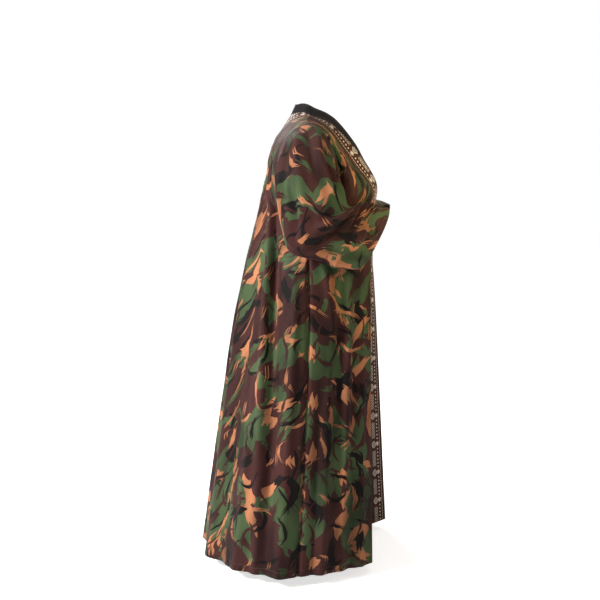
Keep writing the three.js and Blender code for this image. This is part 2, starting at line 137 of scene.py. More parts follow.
# Sections of the sleeve, from the armhole to the cuff
SLEEVE = table("x y z out_x out_y out_z front_x front_y front_z", [
    (-213, 5, -186, 8, 0, 128, 3, -86, 0),
    (-250, 4, -208, -19, 0, 117, 2, -86, 8),
    (-278, -2, -246, -37, 0, 86, 4, -88, 12),
    (-285, -18, -298, -38, -4, 48, 6, -92, 38),
    (-282, -40, -355, -36, -6, 6, 13, -88, 64),
    (-261, -86, -367, -29, -14, 0, 20, -64, 79),
    (-235, -128, -377, -25, -17, 0, 27, -53, 89),
    (-204, -164, -384, -22, -19, 0, 38, -46, 91),
    (-168, -193, -390, -20, -20, 0, 44, -43, 89),
])
CUFF_SECTION = 8
# The sleeve stands back from the armhole by this gap, which closes over the first sections
SLEEVE_GAP = 0.4
SLEEVE_GAP_END = 0.6

# Folds of the cloth: from a place (across, down) to another one, their width and their height.
# Across runs 0 to 1 from the centre back to the side seam, and on to 2 at the front's edge.
BODY_FOLDS = {
    RIGHT: [
        (0.16, 5.0, 0.14, 13, 34, -18),
        (0.32, 4.6, 0.35, 13, 30, 19),
        (0.47, 5.4, 0.46, 13, 24, -14),
        (0.48, 3.2, 0.74, 10.6, 17, 20),
        (0.555, 3.5, 0.805, 10.4, 19, -27),
        (0.62, 4.6, 0.87, 10, 11, 9),
        (0.05, 5.8, 0.04, 13, 18, 9),
        (0.66, 3.2, 0.62, 6.6, 16, 7),
        (0.8, 7.6, 0.79, 13, 18, -15),
        (0.72, 6.0, 0.84, 9.6, 8, -7),
        (0.885, 6.2, 0.91, 13, 18, 16),
        (0.07, 3.2, 0.05, 6.5, 14, -5),
        (0.42, 2.0, 0.28, 5.2, 15, -7),
        (0.36, 2.4, 0.22, 5.0, 10, 5),
        (0.72, 2.2, 0.6, 5.0, 11, -7),
        (0.62, 1.8, 0.48, 4.2, 10, 5),
        (0.24, 7.4, 0.25, 12.8, 14, -10),
        (0.62, 8.0, 0.6, 12.9, 15, 13),
        (0.7, 9.4, 0.69, 13, 13, -10),
        (1.15, 0.5, 1.19, 4.8, 14, -14),
        (1.34, 0.9, 1.36, 4.2, 18, 9),
        (1.06, 5.5, 1.4, 7.6, 12, -11),
        (1.1, 6.1, 1.36, 8.4, 11, 9),
        (1.22, 5.7, 1.6, 7.2, 11, -11),
        (1.46, 6.2, 1.36, 9.6, 17, -14),
        (1.56, 6.8, 1.5, 11, 12, 11),
        (1.68, 6.5, 1.6, 12.9, 16, -12),
        (1.28, 7.8, 1.26, 12.9, 15, 12),
        (1.16, 8.2, 1.15, 12.9, 11, -8),
        (1.8, 7.6, 1.8, 12.9, 11, 7),
        (1.62, 1.6, 1.3, 3.4, 12, -6),
        (1.7, 2.9, 1.4, 4.6, 13, -7),
        (1.55, 3.6, 1.25, 4.7, 10, 5),
    ],
    LEFT: [
        (0.12, 5.8, 0.15, 13, 32, 15),
        (0.28, 5.2, 0.3, 13, 30, -18),
        (0.45, 4.6, 0.48, 13, 28, 18),
        (0.6, 5.4, 0.6, 13, 20, -12),
        (0.72, 4.2, 0.68, 13, 22, -14),
        (0.85, 6.4, 0.87, 13, 20, 13),
        (0.58, 3.6, 0.64, 9.2, 13, -9),
        (0.78, 5.4, 0.8, 9.6, 12, 7),
        (0.22, 7.2, 0.22, 12.6, 13, -8),
        (0.38, 8.4, 0.4, 12.9, 14, -9),
        (0.36, 2.1, 0.24, 5.4, 14, -7),
        (0.3, 2.6, 0.17, 5.0, 10, 5),
        (0.66, 2.0, 0.72, 4.8, 11, -6),
        (0.92, 8.4, 0.92, 12.8, 14, 7),
        (1.15, 0.5, 1.19, 4.8, 14, -12),
        (1.34, 0.9, 1.36, 4.2, 18, 8),
        (1.1, 5.6, 1.35, 7.8, 12, -10),
        (1.13, 6.2, 1.34, 8.6, 11, 8),
        (1.2, 5.6, 1.58, 7.0, 11, -10),
        (1.38, 6.1, 1.45, 10.2, 18, -13),
        (1.72, 6.8, 1.66, 12.6, 18, -11),
        (1.25, 8.0, 1.24, 12.9, 15, 11),
        (1.56, 7.8, 1.58, 12.9, 13, 9),
        (1.6, 1.8, 1.28, 3.6, 12, -6),
        (1.72, 3.1, 1.38, 4.7, 13, -7),
    ],
}
# On a sleeve, across is the angle from the outer side towards the front, and down counts sections
SLEEVE_FOLDS = {
    RIGHT: [
        (78, 0.6, 84, 3.8, 15, -13),
        (54, 0.8, 72, 3.6, 11, 10),
        (40, 0.5, 56, 3.5, 10, -11),
        (22, 0.3, 38, 3.0, 11, 9),
        (4, 0.2, 18, 2.9, 11, -10),
        (-16, 0.3, -14, 3.2, 12, 9),
        (-38, 0.3, -44, 3.6, 11, -10),
        (-62, 0.5, -72, 3.8, 12, 9),
        (84, 4.1, -50, 3.4, 15, -13),
        (86, 4.4, -10, 4.0, 10, 10),
        (84, 4.7, -65, 4.5, 13, -12),
        (106, 4.9, 24, 5.05, 8, 13),
        (106, 5.16, 14, 5.35, 8, -14),
        (106, 5.44, 6, 5.66, 8, 14),
        (104, 5.72, 10, 5.98, 8, -14),
        (100, 6.0, 20, 6.32, 8, 12),
        (96, 6.28, 12, 6.7, 9, -11),
        (-10, 5.0, -95, 5.5, 15, -10),
        (0, 5.7, -90, 6.2, 13, 9),
        (70, 6.7, -70, 7.0, 14, -7),
        (84, 7.2, 0, 7.4, 9, -5),
        (-40, 1.2, -74, 3.6, 12, -8),
        (-20, 2.2, -60, 4.2, 10, -7),
        (56, 2.8, 0, 3.7, 9, 8),
        (-100, 3.0, -60, 4.6, 12, -6),
        (170, 0.6, 120, 3.2, 13, -8),
        (-160, 0.8, -110, 3.4, 13, -8),
        (130, 4.2, 200, 5.4, 13, -8),
        (120, 5.4, 190, 6.8, 13, -7),
    ],
    LEFT: [
        (70, 1.3, 80, 3.4, 14, -10),
        (54, 1.0, 76, 3.4, 10, 7),
        (36, 0.5, 60, 3.2, 10, -8),
        (84, 3.9, -40, 3.2, 14, -11),
        (86, 4.3, -5, 4.1, 9, 8),
        (84, 4.8, -70, 4.4, 14, -11),
        (98, 5.15, 8, 5.2, 7, -9),
        (98, 5.4, 4, 5.45, 7, 8),
        (90, 5.75, -35, 5.85, 11, -9),
        (90, 6.35, 20, 6.6, 9, -7),
        (60, 7, -60, 7.2, 14, -6),
        (-45, 1.4, -76, 3.8, 12, -8),
        (-15, 2.0, -58, 4.0, 11, -7),
        (25, 2.8, -35, 3.6, 10, -7),
        (0, 0.3, 14, 2.7, 10, -7),
        (-30, 0.5, -48, 2.8, 10, 6),
        (170, 0.6, 120, 3.2, 13, -8),
        (-160, 0.8, -110, 3.4, 13, -8),
        (125, 4.4, 195, 5.6, 13, -8),
    ],
}
# The sizes of one unit across and one unit down in those tables
BACK_SIZE = 480
FRONT_SIZE = 270
LEVEL_SIZE = 150
ANGLE_SIZE = 1.4
SECTION_SIZE = 62
# Where a fold has risen, where it starts to fade and where it has gone, as shares of its length
FOLD_RISE = 0.35
FOLD_FADE_START = 0.7
FOLD_FADE_END = 1.15
# The body's folds are built lower than their table says, so that its outline stays that of the solids
BODY_DEPTH = 0.75
# Shares of a panel's width, beside its first and its last edge, over which the folds come in, and
# the sections over which they come in on a sleeve
BACK_EASE = (0.05, 0.05)
FRONT_EASE = (0.12, 0.1)
SLEEVE_EASE = 0.7
# On the body the folds stand away from this upright axis
BODY_AXIS_Y = 20
# Low uneven waves between the folds: their seed, size and height. Several sets of them are laid over
# each other, each one turned further and a little longer than the last.
BODY_WAVES = (2.0, 34, 2.2)
SLEEVE_WAVES = (5.0, 24, 1.9)
WAVE_COUNT = 5
FIRST_WAVE = 0.7
WAVE_GROWTH = 0.25
WAVE_TURN = 2.4
SEED_TURN = 1.7
# The waves are bent by longer ones across them
BEND_LENGTH = 2.3
BEND_REACH = 1.3

# Thickness of the cloth, and how far each sewn edge stands back from its seam
CLOTH = 1.3
BAND_CLOTH = 1.8
SEAM_INSET = 0.12
# The groove along the side seam, which comes in over a part of a level below the arm
GROOVE_DEPTH = 7
GROOVE_WIDTH = 7
GROOVE_RISE = 0.7
# The two edges of a sleeve's sheet are joined to a tube
WELD_DISTANCE = 0.02
# Columns crowd together towards the side seam
CROWDING = 1.25

# Grid of each sheet
BODY_ROWS = 210
BACK_HALF_COLUMNS = 74
FRONT_COLUMNS = 52
BAND_COLUMNS = 14
COLLAR_COLUMNS = 6
NECK_ROWS = 26
SLEEVE_ROWS = 112
SLEEVE_COLUMNS = 116


def read(values, at):
    """A column of a table, read between its rows along a smooth curve."""
    values = np.asarray(values, float)
    at = np.asarray(at, float)
    last = len(values) - 1
    ends = ([2 * values[0] - values[1]], values, [2 * values[-1] - values[-2]])
    padded = np.concatenate(ends)
    row = np.clip(np.floor(at), 0, last - 1).astype(int)
    a, b, c, d = (padded[row + k] for k in range(4))
    share = at - row
    bend = 2 * a - 5 * b + 4 * c - d
    twist = 3 * b - a - 3 * c + d
    return b + 0.5 * share * (c - a + share * (bend + share * twist))


def lerp(start, end, share):
    return start + (end - start) * share


def smooth(start, end, value):
    share = np.clip((value - start) / (end - start), 0, 1)
    return share * share * (3 - 2 * share)


def points(x, y, z):
    return np.stack(np.broadcast_arrays(x, y, z), axis=-1).astype(float)


def armhole(angle, way):
    turn = np.radians(angle)
    return points(
        ARMHOLE_X + ARMHOLE_LEAN * np.cos(turn) - way * ARMHOLE_TURN * np.sin(turn),
        SHOULDER_Y + way * ARMHOLE_HALF_DEPTH * np.sin(turn),
        ARMHOLE_Z + ARMHOLE_HALF_HEIGHT * np.cos(turn),
    )


def side_edge(level, way):
    """The armhole's edge, then the side seam in its fold."""
    at = np.maximum(level - UNDERARM_LEVEL, 0)
    z = (read(LEVELS["lead_z"], level) + read(LEVELS["back_z"], level)) / 2
    z = z + UNDERARM_STEP_Z * np.clip(1 - at, 0, 1)
    tuck = SEAM_TUCK * smooth(TUCK_TOP_Z, TUCK_FULL_Z, z)
    seam_x = read(LEVELS["seam_x"][UNDERARM_LEVEL:], at) + tuck
    seam = points(seam_x, read(LEVELS["seam_y"][UNDERARM_LEVEL:], at), z)
    hole = armhole(np.minimum(read(LEVELS["hole"], np.minimum(level, UNDERARM_LEVEL)), 180), way)
    return np.where((level <= UNDERARM_LEVEL)[..., None], hole, seam)


def upper_back(across, share):
    side = armhole(90, 1)
    x = across * ARMHOLE_TOP_X
    past = x - NECK_HALF_WIDTH
    ridge_z = NECK_SIDE_Z - past * np.where(past > 0, SHOULDER_FALL, NECK_RIDGE_RISE)
    low_y = LEVELS["back_y"][FIRST_BACK_LEVEL]
    low_z = LEVELS["back_z"][FIRST_BACK_LEVEL]
    deep_y = lerp(side[1], low_y, np.cos(np.radians(90 * across)))
    deep_z = lerp(low_z, side[2], across)
    near_neck = np.maximum(0, 1 - (x / NECK_HALF_WIDTH) ** 2)
    start = np.arcsin(NECK_DEPTH * np.sqrt(near_neck) / (deep_y - SHOULDER_Y))
    turn = lerp(start, np.pi / 2, share)
    return points(
        across * armhole(np.degrees(turn), 1)[..., 0],
        SHOULDER_Y + (deep_y - SHOULDER_Y) * np.sin(turn),
        deep_z + (ridge_z - deep_z) * np.cos(turn),
    )


def lower_back(across, level):
    side = side_edge(level, 1)
    at = np.maximum(level - UNDERARM_LEVEL, 0)
    seam_x = read(LEVELS["seam_x"][UNDERARM_LEVEL:], at)
    wide = np.where(level > UNDERARM_LEVEL, seam_x, side[..., 0])
    bend = smooth(FIRST_BACK_LEVEL, ROUND_LEVEL, level)
    turn = np.radians(90 * across)
    x = wide * lerp(across, np.sin(turn), bend)
    y = lerp(side[..., 1], read(LEVELS["back_y"], level), np.cos(turn))
    z = lerp(read(LEVELS["back_z"], level), side[..., 2], across ** 2)
    return points(x + (side[..., 0] - wide) * across ** TUCK_SHARPNESS, y, z)


def back(across, level):
    low = lower_back(across, np.maximum(level, FIRST_BACK_LEVEL))
    high = upper_back(across, np.minimum(level / FIRST_BACK_LEVEL, 1))
    return np.where((level >= FIRST_BACK_LEVEL)[..., None], low, high)


def lead(level, side):
    """The front panel's edge, where the band is sewn on."""
    z = read(LEVELS["lead_z"], level)
    fall = np.clip((z - FORWARD_TOP_Z) / (HEM_Z - FORWARD_TOP_Z), 0, None)
    forward = LEFT_FORWARD * fall ** FORWARD_CURVE if side == LEFT else 0
    return points(read(LEVELS["lead_x"], level), read(LEVELS["lead_y"], level) - forward, z)


def front(across, level, side):
    outer = side_edge(level, -1)
    inner = lead(level, side)
    full = read(LEVELS["full"], level)
    turn = np.radians(90 * across)
    return points(
        lerp(outer[..., 0], inner[..., 0], lerp(across, 1 - np.cos(turn), full)),
        lerp(outer[..., 1], inner[..., 1], lerp(across, np.sin(turn), full)),
        lerp(outer[..., 2], inner[..., 2], across),
    )


def relief(folds, across, down, across_size, down_size):
    """The height of all the folds at each place."""
    height = np.zeros(np.broadcast(across, down).shape)
    for start_across, start_down, end_across, end_down, width, rise in folds:
        dx = (end_across - start_across) * across_size
        dy = (end_down - start_down) * down_size
        px = (across - start_across) * across_size
        py = (down - start_down) * down_size
        length = math.hypot(dx, dy)
        along = (px * dx + py * dy) / length ** 2
        off = (px * dy - py * dx) / length
        fade = smooth(FOLD_FADE_END, FOLD_FADE_START, along)
        fade = np.minimum(smooth(0, FOLD_RISE, along), fade)
        height += rise * fade * np.exp(-((off / width) ** 2))
    return height


def crumple(u, v, side, waves):
    """Low uneven waves that no real cloth is without, other ones on each side."""
    seed, size, height = waves
    seed += side
    u, v = np.broadcast_arrays(u, v)
    total = np.zeros(u.shape)
    for k in range(WAVE_COUNT):
        turn = seed * SEED_TURN + k * WAVE_TURN
        wave = size * (FIRST_WAVE + WAVE_GROWTH * k)
        slant = np.cos(turn) * u + np.sin(turn) * v
        bend = BEND_REACH * np.sin(v / (BEND_LENGTH * wave) + k)
        total += np.sin(slant / wave + seed + bend)
    return height * total / WAVE_COUNT


def body(on_front, across, level, side):
    """A front or back panel with its folds, its waves and the groove along the side seam."""
    point = front(across, level, side) if on_front else back(across, level)
    size, ease = (FRONT_SIZE, FRONT_EASE) if on_front else (BACK_SIZE, BACK_EASE)
    edge = smooth(0, ease[0], across) * smooth(1, 1 - ease[1], across)
    place = across + 1 if on_front else across
    height = BODY_DEPTH * relief(BODY_FOLDS[side], place, level, size, LEVEL_SIZE)
    height = height + crumple(place * size, level * LEVEL_SIZE, side, BODY_WAVES)
    from_seam = (across if on_front else 1 - across) * size
    deep = GROOVE_DEPTH * smooth(UNDERARM_LEVEL, UNDERARM_LEVEL + GROOVE_RISE, level)
    groove = deep * np.exp(-((from_seam / GROOVE_WIDTH) ** 2))
    out = points(point[..., 0], point[..., 1] - BODY_AXIS_Y, 0)
    out /= np.linalg.norm(out, axis=-1, keepdims=True)
    return point + out * (edge * height - groove)[..., None]


def trim(across, place, side):
    """The printed band, 0 to 1, and the collar, 1 to 2, down the front or, below 0, round the neck."""
    across, place = np.broadcast_arrays(across, place)
    on_neck = place < 0
    at = np.maximum(place, 0)
    around = np.clip(1 + place, 0, 1)
    down = lead(at, side)
    neck = upper_back(RIDGE_START * np.sin(np.radians(90 * around)), np.zeros_like(around))
    point = np.where(on_neck[..., None], neck, down)
    band = np.minimum(across, 1)
    rise = np.maximum(across - 1, 0)
    turn = read(TRIM["turn"], at) if side == LEFT else 0
    neck_row = 1 + 2 * around
    for axis, name in enumerate("xyz"):
        neck_reach = read(NECK_TRIM["band_" + name], neck_row)
        neck_lift = read(NECK_TRIM["rise_" + name], neck_row)
        reach = np.where(on_neck, neck_reach, read(TRIM["band_" + name], at))
        lift = np.where(on_neck, neck_lift, read(TRIM["rise_" + name], at))
        extra = np.where(on_neck, 0, turn) if name == "y" else 0
        point[..., axis] += band * (reach + extra) + rise * lift
    return point


def sleeve(angle, section, side):
    """A sleeve with its folds and waves, which start past the seam of the armhole."""
    turn = np.radians(angle)
    out = points(*(read(SLEEVE["out_" + name], section) for name in "xyz"))
    forward = points(*(read(SLEEVE["front_" + name], section) for name in "xyz"))
    centre = points(*(read(SLEEVE[name], section) for name in "xyz"))
    around = out * np.cos(turn)[..., None] + forward * np.sin(turn)[..., None]
    point = centre + around
    point[..., 0] -= SLEEVE_GAP * smooth(SLEEVE_GAP_END, 0, section)
    height = relief(SLEEVE_FOLDS[side], angle, section, ANGLE_SIZE, SECTION_SIZE)
    height = height + crumple(angle * ANGLE_SIZE, section * SECTION_SIZE, side, SLEEVE_WAVES)
    height = height * smooth(0, SLEEVE_EASE, section)
    return point + around / np.linalg.norm(around, axis=-1, keepdims=True) * height[..., None]


def mirrored(grid, side):
    return grid * np.array([side, 1, 1])


def arc(grid, axis, start=0):
    """Length along the rows or columns of a grid, from its start."""
    steps = np.linalg.norm(np.diff(grid, axis=axis), axis=-1)
    total = np.insert(np.cumsum(steps, axis=axis), 0, 0, axis=axis)
    return total - np.take(total, [start], axis=axis)


def draw_in(grid, first, last):
    """Moves the sheet's long edges in, where they are sewn to a neighbour."""
    for end, near, wanted in ((0, 1, first), (-1, -2, last)):
        if wanted:
            way = grid[:, near] - grid[:, end]
            grid[:, end] += way / np.linalg.norm(way, axis=-1, keepdims=True) * SEAM_INSET
    return grid


def sheet_object(name, grid, uv, thickness, materials, hem, flip=False, weld=False):
    """A thin shell on a grid of points, with its pattern's place on the cloth in metres."""
    rows, columns = grid.shape[:2]
    index = np.arange(rows * columns).reshape(rows, columns)
    quads = np.stack((index[:-1, :-1], index[:-1, 1:], index[1:, 1:], index[1:, :-1]), axis=-1)
    quads = quads.reshape(-1, 4)
    if flip:
        quads = quads[:, ::-1]
    mesh = bpy.data.meshes.new(name)
    mesh.from_pydata((grid.reshape(-1, 3) * MM).tolist(), [], quads.tolist())
    corner = np.empty(len(mesh.loops), int)
    mesh.loops.foreach_get("vertex_index", corner)
    for layer_name, place in (("cloth", uv), ("hem", hem)):
        layer = mesh.uv_layers.new(name=layer_name)
        layer.data.foreach_set("uv", (place.reshape(-1, 2)[corner] * MM).ravel())
    obj = bpy.data.objects.new(name, mesh)
    bpy.context.scene.collection.objects.link(obj)
    shape = bmesh.new()
    shape.from_mesh(mesh)
    if weld:
        bmesh.ops.remove_doubles(shape, verts=shape.verts, dist=WELD_DISTANCE * MM)
    shape.to_mesh(mesh)
    shape.free()
    for material in materials:
        mesh.materials.append(material)
    wall = obj.modifiers.new("wall", "SOLIDIFY")
    wall.thickness = thickness * MM
    wall.offset = 0
    wall.material_offset = len(materials) - 1
    bpy.ops.object.select_all(action="DESELECT")
    bpy.context.view_layer.objects.active = obj
    obj.select_set(True)
    bpy.ops.object.modifier_apply(modifier=wall.name)
    mesh.shade_smooth()
    obj.select_set(False)
    return obj


def place_piece(obj, node):
    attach(obj, "root")
    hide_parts(node)


# Shader helpers

# The colour sockets of a Mix node, which has one set of names for several kinds of value
MIX_FIRST = 6
MIX_SECOND = 7
MIX_RESULT = 2


class Graph:
    """Adds nodes to a material or a node group in few words."""

    def __init__(self, tree):
        self.tree = tree

    def node(self, kind, **settings):
        node = self.tree.nodes.new(kind)
        for key, value in settings.items():
            setattr(node, key, value)
        return node

    def plug(self, socket, value):
        if hasattr(value, "is_linked"):
            self.tree.links.new(value, socket)
        else:
            socket.default_value = value

    def math(self, operation, first, second=0.0, third=0.0):
        node = self.node("ShaderNodeMath", operation=operation)
        for socket, value in zip(node.inputs, (first, second, third)):
            self.plug(socket, value)
        return node.outputs[0]

    def vector(self, operation, first, second=(0, 0, 0), scale=1.0):
        node = self.node("ShaderNodeVectorMath", operation=operation)
        self.plug(node.inputs[0], first)
        self.plug(node.inputs[1], second)
        if operation == "SCALE":
            self.plug(node.inputs["Scale"], scale)
        return node.outputs[0]

    def join(self, x, y, z):
        node = self.node("ShaderNodeCombineXYZ")
        for socket, value in zip(node.inputs, (x, y, z)):
            self.plug(socket, value)
        return node.outputs[0]

    def split(self, vector):
        node = self.node("ShaderNodeSeparateXYZ")
        self.plug(node.inputs[0], vector)
        return node.outputs

    def noise(self, vector, scale, detail=2.0, rough=0.5):
        node = self.node("ShaderNodeTexNoise")
        self.plug(node.inputs["Vector"], vector)
        self.plug(node.inputs["Scale"], scale)
        node.inputs["Detail"].default_value = detail
        node.inputs["Roughness"].default_value = rough
        return node.outputs

    def mask(self, value, low, high):
        node = self.node("ShaderNodeMapRange", clamp=True, interpolation_type="SMOOTHSTEP")
        for socket, given in zip(node.inputs, (value, low, high, 0.0, 1.0)):
            self.plug(socket, given)
        return node.outputs[0]

    def mix(self, share, first, second, kind="MIX"):
        node = self.node("ShaderNodeMix", data_type="RGBA", blend_type=kind)
        self.plug(node.inputs["Factor"], share)
        self.plug(node.inputs[MIX_FIRST], first)
        self.plug(node.inputs[MIX_SECOND], second)
        return node.outputs[MIX_RESULT]

    def wander(self, place, noise, reach):
        """The place, moved about by a noise by up to half the reach."""
        move = self.vector("SUBTRACT", noise["Color"], (0.5, 0.5, 0.5))
        return self.vector("ADD", place, self.vector("SCALE", move, scale=reach))

    def darken(self, colour, shade):
        return self.mix(1.0, colour, self.join(shade, shade, shade), "MULTIPLY")


def group(name, inputs, outputs):
    """An empty node group with named sockets, and the graph, input and output nodes inside."""
    tree = bpy.data.node_groups.new(name, "ShaderNodeTree")
    for socket, kind, value in inputs:
        made = tree.interface.new_socket(socket, in_out="INPUT", socket_type="NodeSocket" + kind)
        if value is not None:
            made.default_value = value
    for socket, kind in outputs:
        tree.interface.new_socket(socket, in_out="OUTPUT", socket_type="NodeSocket" + kind)
    graph = Graph(tree)
    return tree, graph, graph.node("NodeGroupInput").outputs, graph.node("NodeGroupOutput").inputs


def use(graph, tree, **values):
    node = graph.node("ShaderNodeGroup")
    node.node_tree = tree
    for name, value in values.items():
        graph.plug(node.inputs[name.replace("_", " ")], value)
    return node.outputs


# Brush marks: how far the paint wanders, how scattered the marks are, the smallest size of a mark and
# how much more it may have, how much it narrows to its ends, and the soft edge of the paint
PAINT_WANDER = 0.032
PAINT_WANDER_SCALE = 15
MARK_SCATTER = 0.85
LEAST_SIZE = 0.55
MORE_SIZE = 0.7
NARROWING = -0.5
PAINT_EDGE = (-0.0012, 0.0014)
SIDE_ROUGHNESS = 20.0
# The ragged ends: how many bristles to a mark's width, and how much shallower the back end is
FRONT_BRISTLES = 1.15
BACK_BRISTLES = 0.8
BACK_SHARE = 0.8
LEAST_FRAY = 0.8
# Factors that make further chances from the three that a cell has
FRONT_SHUFFLE = 3.7
BACK_SHUFFLE = 5.3
KEEP_SHUFFLE = 7.31
# Patches: how far they wander, how they are stretched, and their edge
PATCH_WANDER = 0.022
PATCH_WANDER_SCALE = 22
PATCH_STRETCH = (0.62, 1.5, 1.0)
PATCH_EDGE = 0.003
# Slubs: how quickly a thread's shade changes across it and along it
SLUB_ACROSS = 900
SLUB_ALONG = 30
# Hems: the half widths of the groove and of the thread, where a stitch starts and is full, the
# pucker's reach and size, and how high the pucker and the thread stand
HEM_GROOVE = 0.0022
HEM_THREAD = 0.0006
STITCH_ENDS = (0.1, 0.16)
HEM_PUCKER = 0.012
PUCKER_SIZE = (90, 20, 1)
PUCKER_RISE = 1.6
THREAD_RISE = 0.6


def brush_group():
    """Scattered brush marks, one to a cell, chunky in the middle and ragged at both ends."""
    inputs = [
        ("Place", "Vector", None), ("Cell", "Float", 0.1), ("Length", "Float", 0.05),
        ("Width", "Float", 0.015), ("Bend", "Float", 0.3), ("Angle", "Float", 0.6),
        ("Spread", "Float", 1.5), ("Keep", "Float", 0.8), ("Fray", "Float", 0.5),
        ("Shift", "Vector", None),
    ]
    tree, g, i, o = group("brush_marks", inputs, [("Mask", "Float")])
    place = g.vector("ADD", i["Place"], i["Shift"])
    place = g.wander(place, g.noise(place, PAINT_WANDER_SCALE, 2, 0.6), PAINT_WANDER)
    flat = g.vector("MULTIPLY", place, (1, 1, 0))
    cells = g.vector("SCALE", flat, scale=g.math("DIVIDE", 1.0, i["Cell"]))
    pattern = g.node("ShaderNodeTexVoronoi", voronoi_dimensions="2D")
    g.plug(pattern.inputs["Vector"], cells)
    pattern.inputs["Scale"].default_value = 1.0
    pattern.inputs["Randomness"].default_value = MARK_SCATTER
    from_middle = g.vector("SUBTRACT", cells, pattern.outputs["Position"])
    spot = g.split(g.vector("SCALE", from_middle, scale=i["Cell"]))
    chance = g.split(pattern.outputs["Color"])

    turn = g.math("MULTIPLY_ADD", g.math("SUBTRACT", chance[0], 0.5), i["Spread"], i["Angle"])
    cosine = g.math("COSINE", turn)
    sine = g.math("SINE", turn)
    along = g.math("ADD", g.math("MULTIPLY", spot[0], cosine), g.math("MULTIPLY", spot[1], sine))
    off = g.math("SUBTRACT", g.math("MULTIPLY", spot[1], cosine), g.math("MULTIPLY", spot[0], sine))
    reach = g.math("MULTIPLY_ADD", chance[1], MORE_SIZE, LEAST_SIZE)
    reach = g.math("MULTIPLY", i["Length"], reach)
    share = g.math("DIVIDE", along, reach)
    square = g.math("MULTIPLY", share, share)
    sway = g.math("MULTIPLY", g.math("SUBTRACT", chance[2], 0.5), i["Bend"])
    off = g.math("SUBTRACT", off, g.math("MULTIPLY", g.math("MULTIPLY", square, reach), sway))
    lane = g.math("DIVIDE", off, i["Width"])

    beside = g.join(g.math("MULTIPLY", along, SIDE_ROUGHNESS), lane, chance[0])
    rough = g.noise(beside, 1, 2)["Fac"]
    half = g.math("MULTIPLY", i["Width"], g.math("MULTIPLY_ADD", rough, MORE_SIZE, LEAST_SIZE))
    half = g.math("MULTIPLY", half, g.math("MULTIPLY_ADD", square, NARROWING, 1.0))
    side_room = g.math("SUBTRACT", half, g.math("ABSOLUTE", off))

    front_lane = g.math("MULTIPLY", chance[0], FRONT_SHUFFLE)
    front_lane = g.math("MULTIPLY_ADD", lane, FRONT_BRISTLES, front_lane)
    back_lane = g.math("MULTIPLY", chance[2], BACK_SHUFFLE)
    back_lane = g.math("MULTIPLY_ADD", lane, BACK_BRISTLES, back_lane)
    depth = g.math("MULTIPLY", i["Fray"], g.math("ADD", chance[2], LEAST_FRAY))
    front_cut = g.math("MULTIPLY", g.math("PINGPONG", front_lane, 0.5), depth)
    back_depth = g.math("MULTIPLY", depth, BACK_SHARE)
    back_cut = g.math("MULTIPLY", g.math("PINGPONG", back_lane, 0.5), back_depth)
    front_room = g.math("SUBTRACT", g.math("SUBTRACT", 1.0, front_cut), share)
    back_room = g.math("ADD", g.math("SUBTRACT", 1.0, back_cut), share)
    end_room = g.math("MULTIPLY", g.math("MINIMUM", front_room, back_room), reach)

    room = g.math("MINIMUM", side_room, end_room)
    draw = g.math("FRACT", g.math("MULTIPLY", chance[1], KEEP_SHUFFLE))
    kept = g.math("LESS_THAN", draw, i["Keep"])
    g.plug(o["Mask"], g.math("MULTIPLY", g.mask(room, *PAINT_EDGE), kept))
    return tree


def patch_group():
    """Large patches with drawn-out edges."""
    inputs = [
        ("Place", "Vector", None), ("Scale", "Float", 8.0), ("Level", "Float", 0.5),
        ("Angle", "Float", 0.6), ("Shift", "Vector", None),
    ]
    tree, g, i, o = group("cloth_patches", inputs, [("Mask", "Float")])
    turned = g.node("ShaderNodeVectorRotate", rotation_type="Z_AXIS")
    g.plug(turned.inputs["Vector"], g.vector("ADD", i["Place"], i["Shift"]))
    g.plug(turned.inputs["Angle"], i["Angle"])
    place = turned.outputs[0]
    place = g.wander(place, g.noise(place, PATCH_WANDER_SCALE, 1.5), PATCH_WANDER)
    place = g.vector("MULTIPLY", place, PATCH_STRETCH)
    shade = g.noise(place, i["Scale"], 0.6)["Fac"]
    g.plug(o["Mask"], g.mask(g.math("SUBTRACT", shade, i["Level"]), -PATCH_EDGE, PATCH_EDGE))
    return tree


def weave_group():
    """Threads over and under, as a height, with a slub now and then as a shade."""
    inputs = [("Place", "Vector", None), ("Thread", "Float", 0.0006)]
    tree, g, i, o = group("woven_threads", inputs, [("Height", "Float"), ("Slub", "Float")])
    spot = g.split(g.vector("SCALE", i["Place"], scale=g.math("DIVIDE", math.pi, i["Thread"])))
    warp = g.math("SINE", spot[0])
    weft = g.math("SINE", spot[1])
    g.plug(o["Height"], g.math("MULTIPLY_ADD", g.math("MULTIPLY", warp, weft), 0.5, 0.5))
    long = g.noise(g.vector("MULTIPLY", i["Place"], (SLUB_ACROSS, SLUB_ALONG, 1)), 1, 2)["Fac"]
    wide = g.noise(g.vector("MULTIPLY", i["Place"], (SLUB_ALONG, SLUB_ACROSS, 1)), 1, 2)["Fac"]
    g.plug(o["Slub"], g.math("MULTIPLY", g.math("ADD", long, wide), 0.5))
    return tree


